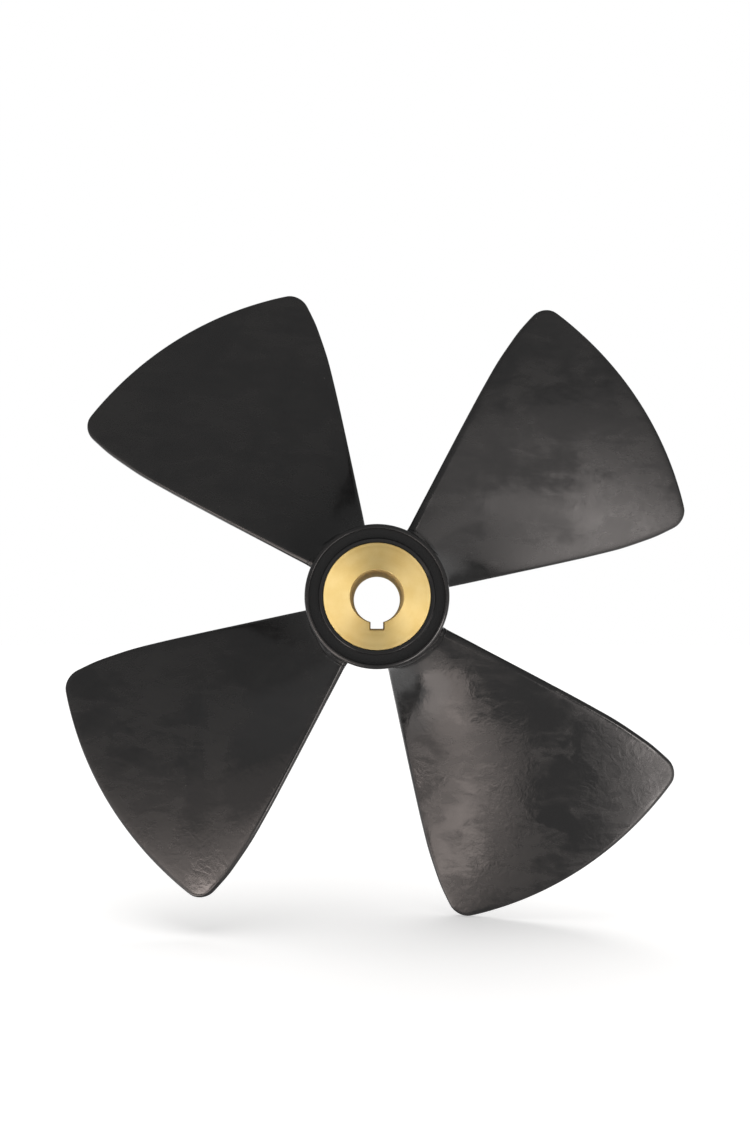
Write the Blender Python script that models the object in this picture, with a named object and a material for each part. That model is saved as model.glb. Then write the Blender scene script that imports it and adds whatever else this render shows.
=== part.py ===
# Four-blade propeller for a tunnel thruster, 294 mm across.
# One black moulding holds the hub barrel and the four blades. A keyed brass insert lines its bore.
# Units are metres with +Z up. The shaft axis runs along Y through the origin, and the front faces -Y.
# The pieces are drawn with their own Z along the shaft, towards the front, and a parent empty turns them.

import math

import bmesh
import bpy
from mathutils import Vector

MM = 0.001

# Driving dimensions of the whole propeller
PROP_RADIUS = 147.0 * MM
HUB_RADIUS = 29.5 * MM
HUB_LENGTH = 66.0 * MM
PITCH = 210.0 * MM
BLADE_COUNT = 4
FIRST_BLADE_ANGLE = math.radians(37.2)

# Blade: a right-handed helicoid sheet between two nearly radial edges, which draw in towards the tip
ROOT_HALF_ANGLE = math.radians(27.0)
TIP_HALF_ANGLE = math.radians(25.3)
DRAW_IN_RADIUS = 105.0 * MM
DRAW_IN_ANGLE = math.radians(2.1)
CORNER_RADIUS = 7.0 * MM
ROOT_THICKNESS = 9.0 * MM
TIP_THICKNESS = 3.6 * MM
THICKENING_POWER = 4
NOSE_SHARE = 0.6
ROOT_FILLET = 4.0 * MM
EDGE_FLARE_SHARE = 0.2
ROOT_SINK = 2.5 * MM

# Shaft bore and keyway of the insert: a 22 mm shaft with a 6 mm key
BORE_RADIUS = 11.0 * MM
KEYWAY_WIDTH = 6.0 * MM
KEYWAY_REACH = 13.8 * MM
INSERT_RADIUS = 21.7 * MM
BORE_CHAMFER = 0.5 * MM
INSERT_CHAMFER = 0.3 * MM
SEAT_GAP = 0.3 * MM

# End face of the hub: a collar with a rounded edge beside the insert, a flat recess, and a rounded lip
COLLAR_RADIUS = 23.2 * MM
COLLAR_DEPTH = 0.3 * MM
COLLAR_ROUND = 0.8 * MM
RECESS_RADIUS = 27.7 * MM
RECESS_DEPTH = 2.8 * MM
LIP_INNER_ROUND = 0.4 * MM

# How finely the round shapes are divided
ROUND_STEPS = 72
COLLAR_STEPS = 3
LIP_STEPS = 3
SPAN_STEPS = 8
FILLET_STEPS = 3
CORNER_STEPS = 6
CHORD_STEPS = 10
NOSE_STATIONS = (0.0, 0.16, 0.5, 1.0)

SHARP_ANGLE = math.radians(35.0)
LEAD = PITCH / (2.0 * math.pi)


def clear_scene():
    for obj in list(bpy.data.objects):
        bpy.data.objects.remove(obj, do_unlink=True)


def material(name, colour, roughness, metallic):
    made = bpy.data.materials.new(name)
    made.use_nodes = True
    shader = made.node_tree.nodes["Principled BSDF"]
    shader.inputs["Base Color"].default_value = (*colour, 1.0)
    shader.inputs["Roughness"].default_value = roughness
    shader.inputs["Metallic"].default_value = metallic
    return made


def mesh_object(name, mesh, parent, finish=None):
    obj = bpy.data.objects.new(name, mesh)
    bpy.context.scene.collection.objects.link(obj)
    obj.parent = parent
    if finish:
        mesh.materials.append(finish)
    return obj


def as_helper(obj):
    """Marks a shape that only adds to or cuts another one."""
    obj.hide_render = True
    obj.display_type = "WIRE"
    return obj


def boolean(target, other, operation):
    modifier = target.modifiers.new(other.name, "BOOLEAN")
    modifier.operation = operation
    modifier.solver = "EXACT"
    modifier.object = other


def turned_mesh(name, profile):
    """A closed profile of (radius, height) points, turned once round the shaft axis."""
    shape = bmesh.new()
    verts = [shape.verts.new((radius, 0.0, height)) for radius, height in profile]
    edges = [shape.edges.new((a, b)) for a, b in zip(verts, verts[1:] + verts[:1])]
    bmesh.ops.spin(
        shape,
        geom=verts + edges,
        axis=(0.0, 0.0, 1.0),
        cent=(0.0, 0.0, 0.0),
        angle=2.0 * math.pi,
        steps=ROUND_STEPS,
        use_merge=True,
    )
    bmesh.ops.recalc_face_normals(shape, faces=shape.faces)
    mesh = bpy.data.meshes.new(name)
    shape.to_mesh(mesh)
    shape.free()
    mesh.shade_smooth()
    mesh.set_sharp_from_angle(angle=SHARP_ANGLE)
    return mesh


def quarter(steps):
    """Angles from 0 to 90 degrees."""
    return [0.5 * math.pi * i / steps for i in range(steps + 1)]


def on_round(crest, size, angle):
    """(radius, depth) on a quarter round that falls from the crest, inwards for a negative size."""
    return crest + size * math.sin(angle), abs(size) * (1.0 - math.cos(angle))


def hub_end_profile():
    """The hub's end face as (radius, depth below the end) points, from the bore out to the rim."""
    points = [(INSERT_RADIUS + SEAT_GAP, 2.0 * COLLAR_DEPTH)]
    collar_height = RECESS_DEPTH - COLLAR_DEPTH
    for angle in quarter(COLLAR_STEPS):
        radius = COLLAR_RADIUS + COLLAR_ROUND * math.sin(angle)
        points.append((radius, COLLAR_DEPTH + collar_height * (1.0 - math.cos(angle))))
    points.append((RECESS_RADIUS, RECESS_DEPTH))
    crest = RECESS_RADIUS + LIP_INNER_ROUND
    points += [on_round(crest, -LIP_INNER_ROUND, angle) for angle in quarter(LIP_STEPS)[:0:-1]]
    points += [on_round(crest, HUB_RADIUS - crest, angle) for angle in quarter(LIP_STEPS)]
    return points


def hub_mesh():
    """The barrel between its two end faces, which are alike."""
    end = hub_end_profile()
    top = 0.5 * HUB_LENGTH
    front = [(radius, top - depth) for radius, depth in end]
    back = [(radius, depth - top) for radius, depth in reversed(end)]
    return turned_mesh("hub_barrel", front + back)


def root_flare(radius):
    """How far the fillet at the hub spreads the blade's skins. Its side edges flare only a share of it."""
    above = min(max(radius - HUB_RADIUS, 0.0), ROOT_FILLET)
    drop = ROOT_FILLET - above
    return ROOT_FILLET - math.sqrt(ROOT_FILLET**2 - drop**2)


def span_share(radius):
    """0 at the hub's surface and 1 at the blade's tip."""
    return (radius - HUB_RADIUS) / (PROP_RADIUS - HUB_RADIUS)


def half_angle(radius):
    """Half of the angle that the blade fills round the shaft, before fillet and tip corners."""
    draw_in = max(radius - DRAW_IN_RADIUS, 0.0) / (PROP_RADIUS - DRAW_IN_RADIUS)
    straight = ROOT_HALF_ANGLE + (TIP_HALF_ANGLE - ROOT_HALF_ANGLE) * span_share(radius)
    return straight - DRAW_IN_ANGLE * draw_in**2


def thickness(radius):
    """Nearly even over the blade, thickening steeply towards the hub."""
    rise = max(1.0 - span_share(radius), 0.0) ** THICKENING_POWER
    return TIP_THICKNESS + (ROOT_THICKNESS - TIP_THICKNESS) * rise


def nose_length(radius):
    """Width of the rounded strip along the blade's edges."""
    return NOSE_SHARE * thickness(radius)


def chord_per_radian(radius):
    """Length along the helicoid, at one radius, for each radian round the shaft."""
    return math.hypot(radius, LEAD)


def row_radii():
    """Radii of the blade's rows, from inside the hub out to the tip."""
    corner_start = PROP_RADIUS - CORNER_RADIUS
    span = corner_start - HUB_RADIUS - ROOT_FILLET
    radii = [HUB_RADIUS - ROOT_SINK]
    radii += [HUB_RADIUS + ROOT_FILLET * i / FILLET_STEPS for i in range(FILLET_STEPS)]
    radii += [HUB_RADIUS + ROOT_FILLET + span * i / SPAN_STEPS for i in range(SPAN_STEPS)]
    radii += [corner_start + CORNER_RADIUS * math.sin(angle) for angle in quarter(CORNER_STEPS)]
    return radii


def edge_angle(radius):
    """Angle from the blade's middle line to its side edges, with root fillet and rounded tip corner."""
    flare = EDGE_FLARE_SHARE * root_flare(radius)
    into_corner = min(max(radius - PROP_RADIUS + CORNER_RADIUS, 0.0), CORNER_RADIUS)
    inset = CORNER_RADIUS - math.sqrt(CORNER_RADIUS**2 - into_corner**2)
    return half_angle(radius) + (flare - inset) / chord_per_radian(radius)


def chord_stations(radius):
    """(angle, distance from the nearer side edge) of the points across one row, from back to front."""
    per_radian = chord_per_radian(radius)
    nose = nose_length(radius)
    edge = edge_angle(radius)
    front = [(edge - nose * share / per_radian, nose * share) for share in NOSE_STATIONS]
    back = [(-angle, inset) for angle, inset in front]
    flank = edge - nose / per_radian
    middle = []
    for i in range(1, CHORD_STEPS):
        angle = flank * (2.0 * i / CHORD_STEPS - 1.0)
        middle.append((angle, (edge - abs(angle)) * per_radian))
    return back + middle + front[::-1]


def half_thickness(radius, edge_distance):
    """Full over the middle of the blade, and rounded off within the nose length of any edge."""
    reach = min(edge_distance, PROP_RADIUS - radius) / nose_length(radius)
    roundness = math.sqrt(1.0 - (1.0 - min(max(reach, 0.0), 1.0)) ** 2)
    return (0.5 * thickness(radius) + root_flare(radius)) * roundness


def sheet_point(radius, angle, offset):
    """A point of the helicoid, moved off it along its normal."""
    x, y = math.cos(angle), math.sin(angle)
    normal = Vector((LEAD * y, -LEAD * x, radius)).normalized()
    return Vector((radius * x, radius * y, LEAD * angle)) + normal * offset


def blade_mesh():
    """One blade centred on angle 0. Its front and back skins share the points of its outline."""
    shape = bmesh.new()
    front, back = [], []
    radii = row_radii()
    for radius in radii:
        stations = chord_stations(radius)
        front_row, back_row = [], []
        for column, (angle, edge_distance) in enumerate(stations):
            on_outline = column in (0, len(stations) - 1) or radius == radii[-1]
            offset = 0.0 if on_outline else half_thickness(radius, edge_distance)
            vert = shape.verts.new(sheet_point(radius, angle, offset))
            front_row.append(vert)
            back_row.append(vert if on_outline else shape.verts.new(sheet_point(radius, angle, -offset)))
        front.append(front_row)
        back.append(back_row)
    for skin in (front, back):
        for low, high in zip(skin, skin[1:]):
            for a, b, c, d in zip(low, low[1:], high[1:], high):
                shape.faces.new((a, b, c, d))
    shape.faces.new(front[0] + back[0][-2:0:-1])
    bmesh.ops.recalc_face_normals(shape, faces=shape.faces)
    mesh = bpy.data.meshes.new("blade")
    shape.to_mesh(mesh)
    shape.free()
    mesh.shade_smooth()
    return mesh


def build_moulding(shaft, finish):
    """The one-piece moulding: the barrel with the blades fused to it."""
    moulding = mesh_object("propeller_moulding", hub_mesh(), shaft, finish)
    blade = blade_mesh()
    blade.materials.append(finish)
    for number in range(BLADE_COUNT):
        helper = as_helper(mesh_object(f"blade_{number + 1}", blade, shaft))
        helper.rotation_euler.z = FIRST_BLADE_ANGLE + 2.0 * math.pi * number / BLADE_COUNT
        boolean(moulding, helper, "UNION")
    return moulding


def insert_mesh():
    """The turned insert before its keyway is cut."""
    top = 0.5 * HUB_LENGTH
    end = [
        (BORE_RADIUS, top - BORE_CHAMFER),
        (BORE_RADIUS + BORE_CHAMFER, top),
        (INSERT_RADIUS - INSERT_CHAMFER, top),
        (INSERT_RADIUS, top - INSERT_CHAMFER),
    ]
    return turned_mesh("brass_insert", end + [(radius, -height) for radius, height in reversed(end)])


def build_insert(shaft, finish):
    """The brass insert. Its keyway points straight down, away from the first gap between blades."""
    insert = mesh_object("brass_insert", insert_mesh(), shaft, finish)
    shape = bmesh.new()
    bmesh.ops.create_cube(shape, size=1.0)
    size = Vector((KEYWAY_WIDTH, KEYWAY_REACH, HUB_LENGTH * 1.5))
    bmesh.ops.scale(shape, vec=size, verts=shape.verts)
    bmesh.ops.translate(shape, vec=(0.0, -0.5 * KEYWAY_REACH, 0.0), verts=shape.verts)
    mesh = bpy.data.meshes.new("keyway")
    shape.to_mesh(mesh)
    shape.free()
    boolean(insert, as_helper(mesh_object("keyway", mesh, shaft)), "DIFFERENCE")
    return insert


def build():
    clear_scene()
    shaft = bpy.data.objects.new("shaft_axis", None)
    bpy.context.scene.collection.objects.link(shaft)
    shaft.rotation_euler.x = 0.5 * math.pi
    build_moulding(shaft, material("black_moulding", (0.022, 0.021, 0.021), 0.42, 0.0))
    build_insert(shaft, material("turned_brass", (0.72, 0.55, 0.27), 0.3, 1.0))


build()
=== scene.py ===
# %% [markdown]
# # A moulded thruster propeller with a brass insert
#
# The real object is a small propeller for a tunnel thruster: one black
# moulding, which is the hub barrel and its four blades, around a turned brass
# insert that slides on a keyed shaft. This lesson dresses the engineering
# model of it: each solid is replaced by a finer piece in the same place, with
# a material for its finish, and then lit and framed as in a catalogue picture.

# %% Load the frame
import math

import bmesh
import bpy
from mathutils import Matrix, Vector


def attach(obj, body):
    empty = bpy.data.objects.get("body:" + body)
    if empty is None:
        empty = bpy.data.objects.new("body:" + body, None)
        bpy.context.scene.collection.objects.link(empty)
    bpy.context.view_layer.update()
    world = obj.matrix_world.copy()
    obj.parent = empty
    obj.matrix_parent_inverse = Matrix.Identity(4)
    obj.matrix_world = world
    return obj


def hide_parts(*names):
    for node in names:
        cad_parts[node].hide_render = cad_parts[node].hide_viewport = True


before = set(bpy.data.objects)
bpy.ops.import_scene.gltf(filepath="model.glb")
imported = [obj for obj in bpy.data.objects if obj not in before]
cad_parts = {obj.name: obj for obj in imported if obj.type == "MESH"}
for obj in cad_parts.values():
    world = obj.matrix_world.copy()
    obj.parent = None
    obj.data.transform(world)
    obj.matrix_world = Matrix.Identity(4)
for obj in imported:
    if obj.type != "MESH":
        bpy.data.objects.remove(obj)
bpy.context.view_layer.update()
print("CAD nodes:", sorted(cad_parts))

# %% [markdown]
# ## Dimensions
#
# The frame has its Y axis along the shaft, with the front towards -Y, and Z
# up. Twisted blades and turned parts are easier to draw round the Z axis, so
# every piece starts with its own Z along the shaft, X to the right and Y up,
# and is stood up at the end by a quarter turn about X. These are the same
# dimensions as those of the solids, in metres.

# %% Dimensions of the propeller
MM = 0.001
PROP_RADIUS = 147.0 * MM
HUB_RADIUS = 29.5 * MM
HUB_LENGTH = 66.0 * MM
LEAD = 210.0 * MM / (2.0 * math.pi)  # advance along the shaft for each radian of blade
FIRST_BLADE_ANGLE = math.radians(37.2)
BLADE_COUNT = 4

ROOT_HALF_ANGLE = math.radians(27.0)
TIP_HALF_ANGLE = math.radians(25.3)
DRAW_IN_RADIUS = 105.0 * MM
DRAW_IN_ANGLE = math.radians(2.1)
CORNER_RADIUS = 7.0 * MM
ROOT_THICKNESS = 9.0 * MM
TIP_THICKNESS = 3.6 * MM
ROOT_FILLET = 4.0 * MM
EDGE_FLARE_SHARE = 0.2  # of the fillet's spread, on the blade's side edges
NOSE_WIDTH = 2.0 * MM

SEAT_RADIUS = 22.0 * MM
LIP_WIDTH = 1.8 * MM
LIP_INNER_ROUND = 0.4 * MM
RECESS_DEPTH = 2.8 * MM
COLLAR_RADIUS = 23.2 * MM
COLLAR_DEPTH = 0.3 * MM
COLLAR_ROUND = 0.8 * MM

INSERT_RADIUS = 21.7 * MM
BORE_RADIUS = 11.0 * MM
KEYWAY_WIDTH = 6.0 * MM
KEYWAY_REACH = 13.8 * MM
print("Blade advance per turn, mm:", round(LEAD * 2.0 * math.pi / MM, 1))

# %% [markdown]
# ## The camera
#
# The picture was taken from 0.39 m in front of the hub, so the front edges of
# the blades look larger than the back ones, and the bore's back rim shows
# inside its front one. The camera stands level with the shaft from side to
# side, 10 mm below it, and looks slightly up. It comes first, because every
# later choice is judged through it.

# %% Place the camera
CAMERA_PLACE = (-0.4 * MM, -387.0 * MM, -9.5 * MM)
CAMERA_UP = math.radians(3.74)
CAMERA_RIGHT = math.radians(-0.065)
LENS = 28.0  # mm, for a picture 36 mm high
NEAREST, FURTHEST = 0.01, 50.0

camera_data = bpy.data.cameras.new("catalogue_camera")
camera_data.sensor_width = 36.0
camera_data.lens = LENS
camera_data.clip_start = NEAREST
camera_data.clip_end = FURTHEST
camera = bpy.data.objects.new("catalogue_camera", camera_data)
bpy.context.scene.collection.objects.link(camera)
camera.location = CAMERA_PLACE
camera.rotation_euler = (0.5 * math.pi + CAMERA_UP, 0.0, -CAMERA_RIGHT)
bpy.context.scene.camera = camera
print("Camera distance from the hub, m:", round(camera.location.length, 3))

# %% [markdown]
# ## Working by hand, in code
#
# Every shape below is a primitive that is opened in edit mode, selected by
# place, and pushed on with the same operators as in the 3D view. A few small
# helpers do what the mouse would do: open one object, pick its points, edges
# or faces by a test, close it again, and apply a modifier.

# %% Helpers that open an object and pick its parts
MERGE_DISTANCE = 0.002 * MM


def make_active(obj):
    """Make obj the active object and the only selected one."""
    bpy.ops.object.select_all(action="DESELECT")
    obj.select_set(True)
    bpy.context.view_layer.objects.active = obj


def open_for_editing(obj):
    """Enter edit mode on obj with nothing picked."""
    make_active(obj)
    bpy.ops.object.mode_set(mode="EDIT")
    bpy.ops.mesh.select_all(action="DESELECT")


def close_editing():
    bpy.ops.object.mode_set(mode="OBJECT")


def pick(obj, kind, test):
    """Select the points, edges or faces of the open mesh that pass the test."""
    bpy.ops.mesh.select_mode(type=kind)
    bpy.ops.mesh.select_all(action="DESELECT")
    shape = bmesh.from_edit_mesh(obj.data)
    parts = {"VERT": shape.verts, "EDGE": shape.edges, "FACE": shape.faces}[kind]
    count = 0
    for part in parts:
        if test(part):
            part.select = True
            count += 1
    shape.select_flush_mode()
    bmesh.update_edit_mesh(obj.data)
    return count


# %% Helpers that finish an object
def apply_modifier(obj, kind, **settings):
    """Add one modifier, set it, and apply it to the mesh."""
    modifier = obj.modifiers.new(kind.title(), kind)
    for name, value in settings.items():
        setattr(modifier, name, value)
    make_active(obj)
    bpy.ops.object.modifier_apply(modifier=modifier.name)


def apply_place(obj):
    """Move the object's place, turn and scale into its mesh."""
    make_active(obj)
    bpy.ops.object.transform_apply(location=True, rotation=True, scale=True)


def outward_normals(obj):
    """Merge doubled points, then turn every face outwards."""
    open_for_editing(obj)
    bpy.ops.mesh.select_all(action="SELECT")
    bpy.ops.mesh.remove_doubles(threshold=MERGE_DISTANCE)
    bpy.ops.mesh.normals_make_consistent(inside=False)
    close_editing()


def triangle_count(obj):
    return sum(len(face.vertices) - 2 for face in obj.data.polygons)


print("Points closer than this are merged, mm:", MERGE_DISTANCE / MM)

# %% [markdown]
# ## A blade as a flat sheet
#
# A blade of this kind is a helicoid: at every radius its height along the
# shaft grows evenly with the angle. That makes it a sheet twisted about the
# shaft, exactly one radian for each lead of height.
#
# It could be modelled bent from the start, point by point, but then every edit
# would fight the curvature. Drawn flat first, as a pattern maker would unroll
# it, the outline is a plain fan with two rounded corners, and widths measured
# on it are the true ones. A grid stands on edge, with the radius along X and
# the width along Z, and each of its columns is moved to its radius and
# stretched to the blade's width there.

# %% The blade's law of width and thickness
THICKENING_POWER = 4
SHEET_START = 24.0 * MM  # inside the barrel's wall
SPAN_COLUMNS = 7
CHORD_ROWS = 8


def span_share(radius):
    """0 at the hub's surface and 1 at the tip."""
    return max((radius - HUB_RADIUS) / (PROP_RADIUS - HUB_RADIUS), 0.0)


def length_per_radian(radius):
    """Length along the blade, at one radius, for each radian round the shaft."""
    return math.hypot(radius, LEAD)


def half_width(radius):
    """Half of the blade's unrolled width, before its fillet and its corners."""
    draw_in = max(radius - DRAW_IN_RADIUS, 0.0) / (PROP_RADIUS - DRAW_IN_RADIUS)
    angle = ROOT_HALF_ANGLE + (TIP_HALF_ANGLE - ROOT_HALF_ANGLE) * span_share(radius)
    return (angle - DRAW_IN_ANGLE * draw_in**2) * length_per_radian(radius)


def blade_thickness(radius):
    rise = (1.0 - span_share(radius)) ** THICKENING_POWER
    return TIP_THICKNESS + (ROOT_THICKNESS - TIP_THICKNESS) * rise


fan_start = HUB_RADIUS + ROOT_FILLET
column_radii = [SHEET_START]
for i in range(SPAN_COLUMNS + 1):
    column_radii.append(fan_start + (PROP_RADIUS - fan_start) * i / SPAN_COLUMNS)
widths = [round(2.0 * half_width(radius) / MM, 1) for radius in (HUB_RADIUS, PROP_RADIUS)]
print("Blade width at hub and tip, mm:", widths)

# %% Stand a grid on edge and shape its columns
bpy.ops.object.select_all(action="DESELECT")
bpy.ops.mesh.primitive_grid_add(
    x_subdivisions=len(column_radii) - 1,
    y_subdivisions=CHORD_ROWS,
    size=1.0,
    rotation=(0.5 * math.pi, 0.0, 0.0),
)
blade = bpy.context.object
blade.name = "blade"
apply_place(blade)
open_for_editing(blade)
column_gap = 1.0 / (len(column_radii) - 1)
for i, radius in enumerate(column_radii):
    grid_place = column_gap * i - 0.5
    # A finished column waits 1 m off the sheet, so that it isn't picked again.
    pick(blade, "VERT", lambda v: v.co.y < MM and abs(v.co.x - grid_place) < 0.1 * column_gap)
    width = 2.0 * half_width(radius)
    bpy.ops.transform.resize(value=(1.0, 1.0, width), center_override=(0.0, 0.0, 0.0))
    bpy.ops.transform.translate(value=(radius - grid_place, 1.0, 0.0))
bpy.ops.mesh.select_all(action="SELECT")
bpy.ops.transform.translate(value=(0.0, -1.0, 0.0))
close_editing()
print("Flat sheet, mm:", [round(side / MM, 1) for side in blade.dimensions])

# %% [markdown]
# ## Corners and border strip
#
# The side edges run almost straight out from the hub and draw in a little over
# the last third. Rounding the two tip corners of such a flat outline is a
# vertex bevel.
#
# The edge of the moulded blade is a round nose of the same width all the way
# round. An inset of the whole sheet, with its open boundary included, lays a
# strip of that width along the outline. A bevel on the finished edge would
# give the same nose, but would bunch up in the corners. A simple subdivision
# then doubles the points without moving the outline.

# %% Round the corners and inset the border
CORNER_SEGMENTS = 6

open_for_editing(blade)
tip_half_width = half_width(PROP_RADIUS)
pick(blade, "VERT", lambda v: v.co.x > PROP_RADIUS - MM and abs(v.co.z) > tip_half_width - MM)
bpy.ops.mesh.bevel(offset=CORNER_RADIUS, segments=CORNER_SEGMENTS, affect="VERTICES")
bpy.ops.mesh.select_mode(type="FACE")
bpy.ops.mesh.select_all(action="SELECT")
bpy.ops.mesh.inset(thickness=NOSE_WIDTH, use_boundary=True, use_even_offset=True)
close_editing()
apply_modifier(blade, "SUBSURF", subdivision_type="SIMPLE", levels=1, render_levels=1)
print("Faces of the flat sheet:", len(blade.data.polygons))

# %% [markdown]
# ## Root fillet and twist
#
# Next to the hub the blade's skins spread in a fillet, and its side edges only
# a little. Bisect cuts the sheet at the radii that the fillet's arc needs. The
# foot of the arc runs on for a little inside the barrel, nearly along its
# surface, so that the two will meet without a crease.
#
# One pass over the points then turns unrolled widths into heights along the
# shaft and spreads the fillet. No operator scales by a formula, so this pass
# is code. Simple Deform twists the sheet: its angle is for the whole height,
# so it is that height divided by the lead.

# %% Cut the sheet where the fillet bends
FILLET_STEPS = 4
RUN_OUT = ((-1.7 * MM, 5.5 * MM), (-0.2 * MM, 5.0 * MM))  # (rise above the barrel, spread)


def sheet_radius(skin_radius, offset):
    """Radius of the sheet whose skin, moved off it by offset, lies at skin_radius."""
    radius = skin_radius
    for _ in range(4):
        sideways = offset * LEAD / length_per_radian(radius)
        radius = math.sqrt(skin_radius**2 - sideways**2)
    return radius


arc = []
for i in range(FILLET_STEPS + 1):
    angle = 0.5 * math.pi * (1.0 - i / FILLET_STEPS)
    arc.append((ROOT_FILLET * (1.0 - math.sin(angle)), ROOT_FILLET * (1.0 - math.cos(angle))))
fillet = []
for rise, spread in (*RUN_OUT, *arc):
    skin_radius = HUB_RADIUS + rise
    offset = 0.5 * blade_thickness(skin_radius) + spread
    fillet.append((sheet_radius(skin_radius, offset), spread))
open_for_editing(blade)
for radius, spread in fillet:
    bpy.ops.mesh.select_all(action="SELECT")
    bpy.ops.mesh.bisect(plane_co=(radius, 0.0, 0.0), plane_no=(1.0, 0.0, 0.0))
close_editing()
print("Fillet cuts, mm:", [round(radius / MM, 2) for radius, spread in fillet])


# %% Settle the heights and twist the sheet
def fillet_spread(radius):
    """Spread of the fillet at any radius, read between the cuts."""
    if radius <= fillet[0][0]:
        return fillet[0][1]
    for (low, low_spread), (high, high_spread) in zip(fillet, fillet[1:]):
        if radius <= high:
            return low_spread + (high_spread - low_spread) * (radius - low) / (high - low)
    return 0.0


for vertex in blade.data.vertices:
    radius = vertex.co.x
    wider = 1.0 + EDGE_FLARE_SHARE * fillet_spread(radius) / half_width(radius)
    vertex.co.z *= wider * LEAD / length_per_radian(radius)
bpy.context.view_layer.update()
heights = [vertex.co.z for vertex in blade.data.vertices]
twist = (max(heights) - min(heights)) / LEAD
apply_modifier(blade, "SIMPLE_DEFORM", deform_method="TWIST", deform_axis="Z", angle=twist)
print("Twist, degrees:", round(math.degrees(twist), 1))

# %% [markdown]
# ## Skins and round edges
#
# Solidify grows both skins from the sheet. A vertex group holds the share of
# the full thickness at each point, so the blade can thicken towards the hub
# and thin out over the border strip. The extra thickness at the root and the
# fillet are full in the middle of the blade's width and nearly gone at its
# side edges, which stay thin and crisp up to the barrel, as on the real part.
# Subdivision Surface then turns the strip and the narrow rim between the
# skins into a round nose.

# %% Weigh the thickness at every point
FULL_THICKNESS = ROOT_THICKNESS + 2.0 * RUN_OUT[0][1]
NOSE_SHARES = (0.52, 0.9, 1.0)  # on the outline, halfway over the border strip, inside it
GROWTH_AT_EDGE = 0.1  # share of the growth towards the hub that is left on the side edges


def growth_share(radius, height):
    """Share of the growth towards the hub that is left at this place across the blade."""
    across = abs(height) * length_per_radian(radius) / (LEAD * half_width(radius))
    return 1.0 + (GROWTH_AT_EDGE - 1.0) * min(across, 1.0) ** 2


shape = bmesh.new()
shape.from_mesh(blade.data)
on_outline = {v.index for v in shape.verts if v.is_boundary}
beside_outline = {e.other_vert(v).index for v in shape.verts if v.is_boundary for e in v.link_edges}
shape.free()
skin_group = blade.vertex_groups.new(name="skin")
for vertex in blade.data.vertices:
    radius = math.hypot(vertex.co.x, vertex.co.y)
    growth = blade_thickness(radius) - TIP_THICKNESS + 2.0 * fillet_spread(radius)
    full = TIP_THICKNESS + growth * growth_share(radius, vertex.co.z)
    rank = 0 if vertex.index in on_outline else 1 if vertex.index in beside_outline else 2
    skin_group.add([vertex.index], NOSE_SHARES[rank] * full / FULL_THICKNESS, "REPLACE")
print("Points on the outline and beside it:", len(on_outline), len(beside_outline - on_outline))

# %% Grow the skins and round the edges
apply_modifier(
    blade,
    "SOLIDIFY",
    thickness=FULL_THICKNESS,
    offset=0.0,
    vertex_group="skin",
    thickness_vertex_group=0.0,
)
apply_modifier(blade, "SUBSURF", levels=2, render_levels=2)
outward_normals(blade)
print("One blade, triangles:", triangle_count(blade))

# %% [markdown]
# ## The hub barrel
#
# The barrel is a short tube. Both of its ends carry the same relief: a rounded
# lip round the rim, a flat recess inside it, and a narrow collar with a rounded
# edge beside the brass. It could be lathed from a drawn profile with spin. Here
# it grows from a cylinder instead, because each part of the relief is one inset
# of the end cap, and the steps can be read in the order in which a toolmaker
# would cut them.

# %% The relief of one end, inset by inset
BARREL_SEGMENTS = 256
COLLAR_STEPS = 6
RECESS_RADIUS = HUB_RADIUS - LIP_WIDTH
NEARLY = 0.05 * MM  # how close a point must be to count as on a circle


def is_end_cap(face, side):
    """Whether a face is the many-sided cap. side is 1 for the front and -1 for the back."""
    return face.normal.z * side > 0.99 and len(face.verts) > 4


def relieve_end(obj, side):
    """Shape one end of the barrel. side is 1 for the front and -1 for the back."""
    pick(obj, "FACE", lambda face: is_end_cap(face, side))
    bpy.ops.mesh.inset(thickness=LIP_WIDTH)
    inwards = (0.0, 0.0, -side * RECESS_DEPTH)
    bpy.ops.mesh.extrude_region_move(TRANSFORM_OT_translate={"value": inwards})
    bpy.ops.mesh.inset(thickness=RECESS_RADIUS - COLLAR_RADIUS - COLLAR_ROUND)
    sideways, depth = 1.0, RECESS_DEPTH
    for i in range(1, COLLAR_STEPS + 1):
        angle = 0.5 * math.pi * (1.0 - i / COLLAR_STEPS)
        next_depth = COLLAR_DEPTH + (RECESS_DEPTH - COLLAR_DEPTH) * (1.0 - math.cos(angle))
        step = COLLAR_ROUND * (sideways - math.sin(angle))
        bpy.ops.mesh.inset(thickness=step, depth=depth - next_depth)
        sideways, depth = math.sin(angle), next_depth
    bpy.ops.mesh.inset(thickness=COLLAR_RADIUS - SEAT_RADIUS, depth=-COLLAR_DEPTH)
    bpy.ops.mesh.delete(type="ONLY_FACE")


def ring_edge(edge, radius, height):
    """Whether an edge lies on the circle of that radius at that height, on either end."""
    first, second = [v.co for v in edge.verts]
    on_circle = all(abs(math.hypot(p.x, p.y) - radius) < NEARLY for p in (first, second))
    level = abs(first.z - second.z) < NEARLY
    return on_circle and level and abs(abs(first.z) - height) < NEARLY


# %% Grow the barrel and bridge its seat
bpy.ops.object.select_all(action="DESELECT")
bpy.ops.mesh.primitive_cylinder_add(vertices=BARREL_SEGMENTS, radius=HUB_RADIUS, depth=HUB_LENGTH)
moulding = bpy.context.object
moulding.name = "moulding"
open_for_editing(moulding)
relieve_end(moulding, 1)
relieve_end(moulding, -1)
seat_height = 0.5 * HUB_LENGTH - 2.0 * COLLAR_DEPTH
seat_edges = pick(moulding, "EDGE", lambda e: ring_edge(e, SEAT_RADIUS, seat_height))
bpy.ops.mesh.bridge_edge_loops()
close_editing()
print("Edges round the seat:", seat_edges)

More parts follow.
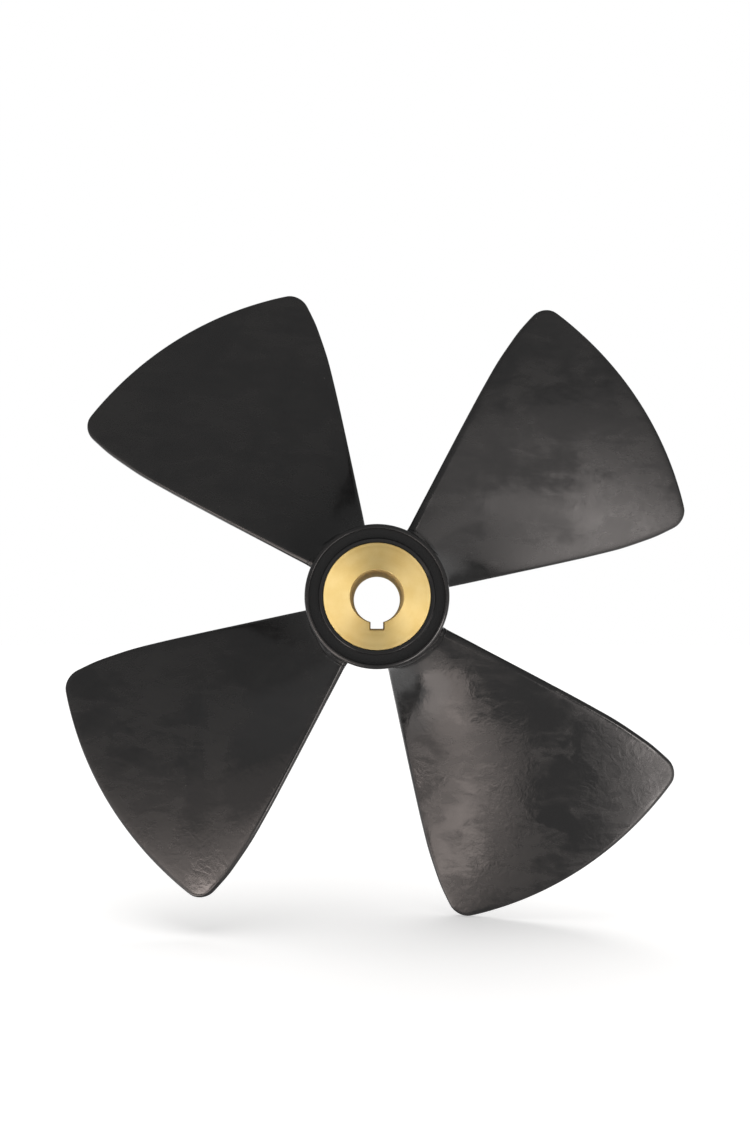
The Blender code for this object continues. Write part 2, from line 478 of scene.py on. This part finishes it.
# %% Round the lip
# Its crest lies close to its inner edge, and it falls off slowly towards the rim.
LIP_GAP = 0.02 * MM  # left between the two bevels
LIP_SEGMENTS = 6

open_for_editing(moulding)
for radius, size in ((RECESS_RADIUS, LIP_INNER_ROUND), (HUB_RADIUS, LIP_WIDTH - LIP_INNER_ROUND)):
    pick(moulding, "EDGE", lambda e: ring_edge(e, radius, 0.5 * HUB_LENGTH))
    bpy.ops.mesh.bevel(offset=size - LIP_GAP, segments=LIP_SEGMENTS, affect="EDGES")
close_editing()
outward_normals(moulding)
print("Barrel, triangles:", triangle_count(moulding))

# %% [markdown]
# ## One moulding
#
# The blade is copied round the shaft, each copy with its own mesh, and fused
# with the barrel by Boolean unions. Leaving the blades pushed into the barrel
# would look much the same, but the real propeller is one solid, and a union
# gives one closed skin. The foot of each fillet meets the barrel at a shallow
# angle, so smooth shading runs across the seam as it does on the part.

# %% Copy the blade round the shaft and fuse the copies
SMOOTH_ACROSS = math.radians(34.0)  # sharper folds stay sharp

for number in range(BLADE_COUNT):
    copy = blade.copy()
    copy.data = blade.data.copy()
    bpy.context.scene.collection.objects.link(copy)
    copy.rotation_euler.z = FIRST_BLADE_ANGLE + 2.0 * math.pi * number / BLADE_COUNT
    apply_place(copy)
    apply_modifier(moulding, "BOOLEAN", operation="UNION", solver="EXACT", object=copy)
    bpy.data.objects.remove(copy, do_unlink=True)
bpy.data.objects.remove(blade, do_unlink=True)
outward_normals(moulding)
moulding.rotation_euler.x = 0.5 * math.pi
apply_place(moulding)
bpy.ops.object.shade_smooth_by_angle(angle=SMOOTH_ACROSS)
print("Moulding, triangles:", triangle_count(moulding))

# %% [markdown]
# ## The brass insert
#
# The insert is turned from bar: a plain sleeve with a bored hole, faced ends and
# small chamfers, and one keyway broached along the bore. The sleeve could be
# lathed from a profile as well. It starts as a cylinder whose caps are inset to
# the bore and bridged, which takes fewer steps. The keyway is cut with a block
# whose lower corners are rounded like those of a broach. A narrow chamfer then
# breaks every sharp edge at once, and it is this thin bright line that makes
# the bore look machined. The faces beside it stay flat, so shading is smooth
# only round the walls.

# %% Turn the sleeve
SLEEVE_SEGMENTS = 192

bpy.ops.object.select_all(action="DESELECT")
bpy.ops.mesh.primitive_cylinder_add(
    vertices=SLEEVE_SEGMENTS, radius=INSERT_RADIUS, depth=HUB_LENGTH
)
insert = bpy.context.object
insert.name = "insert"
open_for_editing(insert)
for side in (1, -1):
    pick(insert, "FACE", lambda face: is_end_cap(face, side))
    bpy.ops.mesh.inset(thickness=INSERT_RADIUS - BORE_RADIUS)
    bpy.ops.mesh.delete(type="ONLY_FACE")
pick(insert, "EDGE", lambda e: ring_edge(e, BORE_RADIUS, 0.5 * HUB_LENGTH))
bpy.ops.mesh.bridge_edge_loops()
close_editing()
outward_normals(insert)
print("Sleeve, faces:", len(insert.data.polygons))

# %% Broach the keyway
KEYWAY_CORNER = 0.4 * MM
OVERRUN = 1.2  # length of the broach, as a share of the sleeve's


def is_broach_corner(edge):
    """Whether an edge is a long corner of the broach, on the keyway's floor."""
    first, second = [v.co for v in edge.verts]
    return max(first.y, second.y) < -0.9 * KEYWAY_REACH and abs(first.x - second.x) < MM


bpy.ops.object.select_all(action="DESELECT")
bpy.ops.mesh.primitive_cube_add(size=1.0, location=(0.0, -0.5 * KEYWAY_REACH, 0.0))
broach = bpy.context.object
broach.scale = (KEYWAY_WIDTH, KEYWAY_REACH, OVERRUN * HUB_LENGTH)
apply_place(broach)
open_for_editing(broach)
corners = pick(broach, "EDGE", is_broach_corner)
bpy.ops.mesh.bevel(offset=KEYWAY_CORNER, segments=4, affect="EDGES")
close_editing()
apply_modifier(insert, "BOOLEAN", operation="DIFFERENCE", solver="EXACT", object=broach)
bpy.data.objects.remove(broach, do_unlink=True)
print("Rounded corners of the keyway:", corners)

# %% Break the sharp edges
EDGE_BREAK = 0.4 * MM
SHARP = math.radians(55.0)  # an edge that folds further is broken
SMOOTH_WALLS = math.radians(25.0)  # more than a step of the round walls, less than a chamfer

apply_modifier(
    insert,
    "BEVEL",
    width=EDGE_BREAK,
    segments=1,
    limit_method="ANGLE",
    angle_limit=SHARP,
)
insert.rotation_euler.x = 0.5 * math.pi
apply_place(insert)
bpy.ops.object.shade_smooth_by_angle(angle=SMOOTH_WALLS)
print("Insert, triangles:", triangle_count(insert))

# %% [markdown]
# ## Materials
#
# Both finishes are built from nodes on Object coordinates. The two pieces
# stand unturned at the origin, so those coordinates are metres along the
# frame's own axes, and a distance in the pattern is a distance on the part.
#
# The nodes could be linked one by one, as in the shader editor, but each finish
# has dozens of them. Two small classes keep that readable: the first adds nodes
# and links them to the shader, and the second adds the patterns that both
# finishes are made of.

# %% A helper that adds and links nodes
class Nodes:
    """Adds nodes to one material and links them."""

    def __init__(self, name):
        self.material = bpy.data.materials.new(name)
        self.material.use_nodes = True
        self.tree = self.material.node_tree
        self.shader = self.tree.nodes["Principled BSDF"]

    def add(self, kind, values=None, **settings):
        """A node with its settings, its number inputs set and its other inputs linked."""
        node = self.tree.nodes.new(kind)
        for name, value in settings.items():
            setattr(node, name, value)
        for key, value in (values or {}).items():
            if isinstance(value, bpy.types.NodeSocket):
                self.tree.links.new(value, node.inputs[key])
            else:
                node.inputs[key].default_value = value
        return node

    def to_shader(self, **values):
        """Set inputs of the shader, or link them where a node is given."""
        for name, value in values.items():
            socket = self.shader.inputs[name.replace("_", " ")]
            if isinstance(value, bpy.types.NodeSocket):
                self.tree.links.new(value, socket)
            else:
                socket.default_value = value

    def finish(self, piece):
        """Put the material on a piece."""
        piece.data.materials.append(self.material)
        print(self.material.name, "nodes:", len(self.tree.nodes))


# %% A helper that adds patterns
class Finish(Nodes):
    """A material that is built from places on the piece."""

    def places(self):
        """The place, its three axes, the place as seen from the front, and the radius."""
        place = self.add("ShaderNodeTexCoord").outputs["Object"]
        axes = self.add("ShaderNodeSeparateXYZ", {0: place}).outputs
        flat = self.add("ShaderNodeCombineXYZ", {0: axes[0], 1: 0.0, 2: axes[2]}).outputs[0]
        radius = self.add("ShaderNodeVectorMath", {0: flat}, operation="LENGTH").outputs["Value"]
        return place, axes, flat, radius

    def maths(self, operation, *values):
        return self.add("ShaderNodeMath", dict(enumerate(values)), operation=operation).outputs[0]

    def noise(self, place, scale, detail=4.0, roughness=0.5, distortion=0.0):
        """Cloudy numbers round one half. At a scale of 100 the clouds are 10 mm across."""
        values = {"Vector": place, "Scale": scale, "Detail": detail}
        values.update({"Roughness": roughness, "Distortion": distortion})
        return self.add("ShaderNodeTexNoise", values).outputs["Fac"]

    def spread(self, value, low, high, to_low=0.0, to_high=1.0):
        """Stretch the range from low to high onto another, softly, and stop at its ends."""
        values = {"Value": value, 1: low, 2: high, 3: to_low, 4: to_high}
        node = self.add("ShaderNodeMapRange", values, interpolation_type="SMOOTHSTEP")
        return node.outputs["Result"]

    def mix_numbers(self, share, first, second):
        values = {0: share, 2: first, 3: second}
        return self.add("ShaderNodeMix", values, data_type="FLOAT").outputs[0]

    def mix_colours(self, share, first, second):
        values = {0: share, 6: first, 7: second}
        return self.add("ShaderNodeMix", values, data_type="RGBA").outputs[2]

    def bump(self, height, depth, normal=None, strength=1.0):
        """Relief that lies on top of an earlier one, whose normal it is given."""
        values = {"Height": height, "Distance": depth, "Strength": strength}
        if normal is not None:
            values["Normal"] = normal
        return self.add("ShaderNodeBump", values).outputs["Normal"]


# %% [markdown]
# ## Black moulded plastic
#
# The moulding is black glass-filled plastic with a satin skin. What makes it
# look handled and real is mostly uneven gloss: cloudy flow marks from the
# mould, smears from fingers, and a few specks of dust. They could be painted
# on an unwrapped picture of the surface. Patterns built from nodes need no
# picture and have no seams on the twisted blades.
#
# One number from 0 to 1, the film, says how dull the skin is at each place. The
# lower blades have been handled more, so the film's borders are harder there.
# None lies in the recess beside the brass. That keeps the recess a darker and glossier black, and
# the darker colour is painted shade in the recess.

# %% Find the recess and the lower blades
RECESS_BORDER = (27.0 * MM, 28.0 * MM)
HANDLED_BORDER = (-5.0 * MM, -40.0 * MM)

plastic = Finish("black_plastic")
place, axes, flat_place, radius = plastic.places()
outside_recess = plastic.spread(radius, *RECESS_BORDER)
handled = plastic.spread(axes[2], *HANDLED_BORDER)
print("Handled below, mm:", HANDLED_BORDER[0] / MM)

# %% Lay the film
SMEAR_SHAPE = (1.0, 1.0, 3.0)  # three times as wide as high
SMEAR_TURN = (0.0, 0.6, 0.0)  # so that the smears don't follow the clouds
CLOUD_SHARE = 0.6
SOFT_BORDERS = (0.36, 0.66)
HARD_BORDERS = (0.39, 0.6)

flattened = {"Vector": place, "Rotation": SMEAR_TURN, "Scale": SMEAR_SHAPE}
flattened = plastic.add("ShaderNodeMapping", flattened).outputs[0]
clouds = plastic.noise(place, 30.0, detail=5.0, roughness=0.55, distortion=0.6)
smears = plastic.noise(flattened, 60.0, detail=6.0, roughness=0.65, distortion=0.8)
film = plastic.mix_numbers(CLOUD_SHARE, smears, clouds)
film = plastic.mix_numbers(
    handled, plastic.spread(film, *SOFT_BORDERS), plastic.spread(film, *HARD_BORDERS)
)
# No film inside the recess: its black is darker there as painted shade, and its skin is glossier.
film = plastic.maths("MULTIPLY", film, outside_recess)
print("Nodes for the film:", len(plastic.tree.nodes))

# %% [markdown]
# The lower right blade has been wiped in two places, where it is darker and
# shines more. A wiped patch is the space round a point. A noise is added to the
# distance from that point, or the patch would be a disc.

# %% Wipe two ragged patches
WIPED_PLACES = ((81.0 * MM, 0.0, -70.0 * MM), (73.0 * MM, 0.0, -96.0 * MM))
WIPED_BORDER = (3.0 * MM, 10.0 * MM)
RAGGEDNESS = 14.0 * MM

ragged = plastic.noise(place, 65.0, detail=4.0, distortion=0.6)
ragged = plastic.spread(ragged, 0.3, 0.7, -RAGGEDNESS, RAGGEDNESS)
for centre in WIPED_PLACES:
    away = plastic.add("ShaderNodeVectorMath", {0: flat_place, 1: centre}, operation="DISTANCE")
    away = plastic.maths("ADD", away.outputs["Value"], ragged)
    film = plastic.maths("MULTIPLY", film, plastic.spread(away, *WIPED_BORDER))
print("Wiped places:", len(WIPED_PLACES))

# %% [markdown]
# The film lightens the black a little and makes it rougher, so it shows best
# where the blades mirror a bright reflector. Dust is a few tiny dots: a Voronoi
# texture scatters points 3 mm apart, and those in the brightest cells become
# specks up to half a millimetre across.

# %% Colour the film and add the dust
BARE_BLACK = (0.0125, 0.0125, 0.0127, 1.0)
FILM_BLACK = (0.0185, 0.0181, 0.0179, 1.0)
BARE_ROUGHNESS = 0.12
FILM_ROUGHNESS = 0.31
DUST = (0.16, 0.15, 0.14, 1.0)
DUST_COVER = 0.5
DUSTY_CELLS = (0.72, 1.0)
SPECK_REACH = 0.075  # as a share of a cell

colour = plastic.mix_colours(film, BARE_BLACK, FILM_BLACK)
dust_cells = plastic.add("ShaderNodeTexVoronoi", {"Vector": place, "Scale": 330.0}).outputs
speck_size = plastic.spread(dust_cells["Color"], *DUSTY_CELLS, 0.0, SPECK_REACH)
specks = plastic.maths("LESS_THAN", dust_cells["Distance"], speck_size)
colour = plastic.mix_colours(plastic.maths("MULTIPLY", specks, DUST_COVER), colour, DUST)
roughness = plastic.spread(film, 0.0, 1.0, BARE_ROUGHNESS, FILM_ROUGHNESS)
print("Roughness, bare and under film:", BARE_ROUGHNESS, FILM_ROUGHNESS)

# %% [markdown]
# ## The relief of the skin
#
# A moulded skin isn't flat: it has long shallow waves where the plastic shrank,
# fine wrinkles from its flow, more of them on the lower blades, and the grain
# of the mould's steel. Two thin witness lines of the mould also run round the
# foot of the blades, where they wander a little and are broken. None of these
# is deeper than a few tenths of a millimetre, so they are bump and not mesh.
# Each layer takes the normal of the one below it.

# %% Add waves and wrinkles
WAVE_DEPTH = 0.15 * MM
WRINKLE_DEPTH = 0.06 * MM
LEAST_WRINKLES = 0.3  # on the upper blades

waves = plastic.noise(place, 48.0, detail=3.0, roughness=0.55)
wrinkles = plastic.noise(place, 240.0, detail=3.0, roughness=0.55, distortion=1.5)
more_wrinkles = plastic.spread(handled, 0.0, 1.0, LEAST_WRINKLES, 1.0)
wrinkles = plastic.maths("MULTIPLY", wrinkles, more_wrinkles)
normal = plastic.bump(waves, WAVE_DEPTH)
normal = plastic.bump(wrinkles, WRINKLE_DEPTH, normal)
print("Waves and wrinkles, mm:", WAVE_DEPTH / MM, WRINKLE_DEPTH / MM)

# %% Add the witness lines
WITNESS_RADII = (30.9 * MM, 32.4 * MM)
WITNESS_WANDER = 1.2 * MM
WITNESS_FLANK = (0.05 * MM, 0.4 * MM)
WITNESS_HEIGHT = 0.3 * MM

wandering = plastic.noise(place, 35.0, detail=1.0)
wandering = plastic.spread(wandering, 0.2, 0.8, -WITNESS_WANDER, WITNESS_WANDER)
broken = plastic.spread(plastic.noise(place, 90.0, detail=2.0), 0.4, 0.52)
wandered_radius = plastic.maths("ADD", radius, wandering)
for line_radius in WITNESS_RADII:
    beside = plastic.maths("SUBTRACT", wandered_radius, line_radius)
    beside = plastic.maths("ABSOLUTE", beside)
    ridge = plastic.spread(beside, *WITNESS_FLANK, 1.0, 0.0)
    ridge = plastic.maths("MULTIPLY", ridge, broken)
    normal = plastic.bump(ridge, WITNESS_HEIGHT, normal)
print("Witness lines:", len(WITNESS_RADII))

# %% Add the grain and finish the plastic
GRAIN_DEPTH = 0.04 * MM
GRAIN_STRENGTH = 0.06

grain = plastic.noise(place, 2400.0, detail=2.0)
grain = plastic.maths("MULTIPLY", grain, outside_recess)
normal = plastic.bump(grain, GRAIN_DEPTH, normal, strength=GRAIN_STRENGTH)
plastic.to_shader(Base_Color=colour, Roughness=roughness, Specular_IOR_Level=0.6, Normal=normal)
plastic.finish(moulding)

# %% [markdown]
# ## Turned brass
#
# Facing the insert on a lathe leaves circular tool marks too fine to see one
# by one. Their sides tilt away from and towards the shaft, so a light is
# mirrored furthest along a radius that points to it, which gives the fans of
# shine on a turned face. Bump as fine as that would only flicker in the
# picture. Anisotropic shading gives the same fans, with the shader's tangent
# laid across the marks: along the radius on the faces, and along the shaft on
# the walls. One vector serves for both, because the shader drops the part of
# it that stands on the surface.

# %% Make the turned brass
STAINED_BRASS = (0.74, 0.545, 0.2, 1.0)
CLEAN_BRASS = (0.8, 0.62, 0.26, 1.0)
BRASS_ROUGHNESS = (0.42, 0.5)
STAIN_SHARE = 0.75

brass = Finish("turned_brass")
place, axes, _, radius = brass.places()
across_marks = brass.add("ShaderNodeCombineXYZ", {0: axes[0], 1: radius, 2: axes[2]}).outputs[0]
along_radius = brass.add("ShaderNodeCombineXYZ", {0: radius, 1: axes[1], 2: 0.0}).outputs[0]
rings = brass.noise(along_radius, 1500.0, detail=3.0, roughness=0.7)
stain = brass.noise(place, 110.0, detail=4.0, roughness=0.6)
tone = brass.mix_numbers(STAIN_SHARE, rings, stain)
brass.to_shader(
    Base_Color=brass.mix_colours(brass.spread(tone, 0.35, 0.65), STAINED_BRASS, CLEAN_BRASS),
    Metallic=1.0,
    Roughness=brass.spread(rings, 0.3, 0.7, *BRASS_ROUGHNESS),
    Anisotropic=0.7,
    Tangent=across_marks,
)
brass.finish(insert)

# %% [markdown]
# ## Floor and world
#
# Black plastic shows little but what it mirrors, so its surroundings matter
# more than its colour. In the picture every surface that leans down or to a
# side is light, and what faces the camera or leans up is nearly black: low
# reflectors stand round the propeller, and the camera and a dark room fill the
# rest.
#
# The floor is there for the eye and for a faint shadow. It is white paper that
# glows a little, casts no shadow and isn't mirrored in the pieces. A paper
# sweep would have to be bent up behind the object, and the bend would grey the
# background. Here the world is white to the camera instead, and dim to every
# other ray.

# %% Lay the floor
FLOOR_GAP = 0.3 * MM  # below the lowest blade tip
PAPER_WHITE = (0.86, 0.85, 0.84, 1.0)
PAPER_GLOW = 0.45

lowest = min((moulding.matrix_world @ v.co).z for v in moulding.data.vertices)
bpy.ops.object.select_all(action="DESELECT")
bpy.ops.mesh.primitive_plane_add(size=8.0, location=(0.0, 0.0, lowest - FLOOR_GAP))
floor = bpy.context.object
floor.name = "floor"
floor.visible_glossy = False
floor.visible_shadow = False
paper = Nodes("white_paper")
paper.to_shader(
    Base_Color=PAPER_WHITE,
    Roughness=1.0,
    Specular_IOR_Level=0.0,
    Emission_Color=(1.0, 1.0, 1.0, 1.0),
    Emission_Strength=PAPER_GLOW,
)
paper.finish(floor)

# %% Set the world white behind the object and dim elsewhere
ROOM_LIGHT = 0.26
BACKGROUND_LIGHT = 1.0

world = bpy.data.worlds.new("studio")
world.use_nodes = True
bpy.context.scene.world = world
air = world.node_tree
seen_directly = air.nodes.new("ShaderNodeLightPath").outputs["Is Camera Ray"]
strength = air.nodes.new("ShaderNodeMapRange")
air.links.new(seen_directly, strength.inputs["Value"])
strength.inputs["To Min"].default_value = ROOM_LIGHT
strength.inputs["To Max"].default_value = BACKGROUND_LIGHT
air.nodes["Background"].inputs["Color"].default_value = (1.0, 1.0, 1.0, 1.0)
air.links.new(strength.outputs["Result"], air.nodes["Background"].inputs["Strength"])
print("Room light, as a share of the background:", ROOM_LIGHT)

# %% [markdown]
# ## Reflectors
#
# Each reflector is an area light on a sphere round the hub, given by the
# direction in which the hub sees it: so many degrees right of the camera, and
# so many up. Its size is the angle that it fills, and its strength is how
# bright it looks, as a share of the white background. They stand near, because
# the brightness in the picture changes along each blade faster than distant
# lights would make it. A gap is left straight ahead for the camera. One large
# light could stand for them all, but it would grey the upper left blade, which
# mirrors little but the dark room.
#
# The tints give the blades the faint brown shine that they have in the
# picture. It is strongest on the lower right blade, which mostly mirrors the
# low reflectors on the left, so those are the warmest.
#
# The brass is bright where the plastic beside it is black, so three boxes light
# it alone: one on each side of the camera, and one below that reaches into the
# bore. In the same way only the moulding takes the light from behind, which
# draws a thin line on its edges and would glare in the bore.

# %% What a reflector is
REFLECTOR_DISTANCE = 0.55


def reflector(name, right, up, wide, high, strength):
    """A soft box that faces the hub and isn't seen itself."""
    right, up, wide, high = (math.radians(angle) for angle in (right, up, wide, high))
    data = bpy.data.lights.new(name, "AREA")
    data.shape = "RECTANGLE"
    data.size = 2.0 * REFLECTOR_DISTANCE * math.tan(0.5 * wide)
    data.size_y = 2.0 * REFLECTOR_DISTANCE * math.tan(0.5 * high)
    data.energy = strength * math.pi * data.size * data.size_y
    light = bpy.data.objects.new(name, data)
    bpy.context.scene.collection.objects.link(light)
    light.location = REFLECTOR_DISTANCE * Vector(
        (math.cos(up) * math.sin(right), -math.cos(up) * math.cos(right), math.sin(up))
    )
    light.rotation_euler = (-light.location).to_track_quat("-Z", "Y").to_euler()
    light.visible_camera = False
    return light


def receivers_of_light(name, *pieces):
    """A collection of the objects that a light is for."""
    collection = bpy.data.collections.new(name)
    for piece in pieces:
        collection.objects.link(piece)
    return collection


pieces_only = receivers_of_light("pieces_only", moulding, insert)
moulding_only = receivers_of_light("moulding_only", moulding)
insert_only = receivers_of_light("insert_only", insert)
print("Reflectors stand off by, m:", REFLECTOR_DISTANCE)

# %% Hang the reflectors
WARM = (1.0, 0.86, 0.8)
PALE = (1.0, 0.92, 0.89)
WHITE = (1.0, 1.0, 1.0)
COOL = (1.0, 1.0, 1.12)
# Each row says who takes the light, its tint, and (name, right, up, wide, high, strength).
REFLECTORS = (
    (pieces_only, WARM, ("left_floor", -60, -52, 31, 12, 2.3)),
    (pieces_only, WARM, ("left_ground", -45, -42, 32, 10, 1.55)),
    (pieces_only, WARM, ("left_broad", -40, -27, 44, 40, 0.84)),
    (pieces_only, WARM, ("left_low", -24, -33, 16, 10, 2.0)),
    (pieces_only, WARM, ("left_edge", -21, -35, 8, 8, 0.7)),
    (pieces_only, WARM, ("left_spot", -39, -21, 11, 11, 6.0)),
    (pieces_only, WARM, ("left_strip", -45, -7, 20, 20, 0.32)),
    (pieces_only, WHITE, ("upper_left", -60, 14, 30, 18, 0.12)),
    (pieces_only, PALE, ("right_tip", 17, -38, 12, 8, 0.45)),
    (pieces_only, PALE, ("right_under", 15, -33, 17, 10, 0.85)),
    (pieces_only, PALE, ("right_end", 22, -36, 8, 8, 1.8)),
    (pieces_only, PALE, ("right_low", 30, -32, 10, 28, 5.4)),
    (pieces_only, PALE, ("right_near", 30, -12, 12, 10, 5.2)),
    (pieces_only, PALE, ("right_edge", 35, -15, 8, 12, 4.0)),
    (pieces_only, PALE, ("right_mid", 46, -27, 18, 20, 1.1)),
    (pieces_only, PALE, ("right_ground", 40, -47, 27, 16, 0.92)),
    (pieces_only, PALE, ("right_side", 60, -12, 48, 30, 0.41)),
    (pieces_only, PALE, ("right_far", 75, -37, 32, 36, 0.44)),
    (pieces_only, WHITE, ("left_side", -76, -34, 34, 44, 0.5)),
    (pieces_only, WHITE, ("far_left", -108, -20, 36, 50, 0.8)),
    (pieces_only, WHITE, ("far_right", 108, -30, 34, 50, 0.55)),
    (moulding_only, WHITE, ("back_left", -145, -10, 40, 50, 1.9)),
    (moulding_only, WHITE, ("back_right", 145, -10, 40, 50, 1.75)),
    (insert_only, COOL, ("brass_left", -30, 0, 24, 40, 3.9)),
    (insert_only, COOL, ("brass_right", 30, -6, 24, 40, 0.5)),
    (insert_only, COOL, ("bore_glow", 0, -80, 80, 50, 1.4)),
)
for receivers, tint, settings in REFLECTORS:
    light = reflector(*settings)
    light.data.color = tint
    light.light_linking.receiver_collection = receivers
print("Reflectors:", len(REFLECTORS))

# %% [markdown]
# ## Light for the floor
#
# One broad sun straight above lights only the floor. The pieces still stand in
# its way, so a faint soft shadow lies under the blade tips. The Standard view
# keeps the paper as white as it is lit.

# %% Light the floor
CEILING_STRENGTH = 1.7
CEILING_SPREAD = math.radians(60.0)

ceiling_data = bpy.data.lights.new("ceiling", "SUN")
ceiling_data.energy = CEILING_STRENGTH
ceiling_data.angle = CEILING_SPREAD
ceiling = bpy.data.objects.new("ceiling", ceiling_data)
bpy.context.scene.collection.objects.link(ceiling)
ceiling.light_linking.receiver_collection = receivers_of_light("floor_only", floor)
bpy.context.scene.view_settings.view_transform = "Standard"
print("Strength of the ceiling light:", CEILING_STRENGTH)

# %% [markdown]
# ## Hand the pieces to the frame
#
# Each piece rides on the one body and stands for its solid, which is hidden.

# %% Ride and replace
for piece, node, finish in (
    (moulding, "propeller_moulding", "black_moulding"),
    (insert, "brass_insert", "turned_brass"),
):
    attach(piece, "root")
    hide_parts(node)
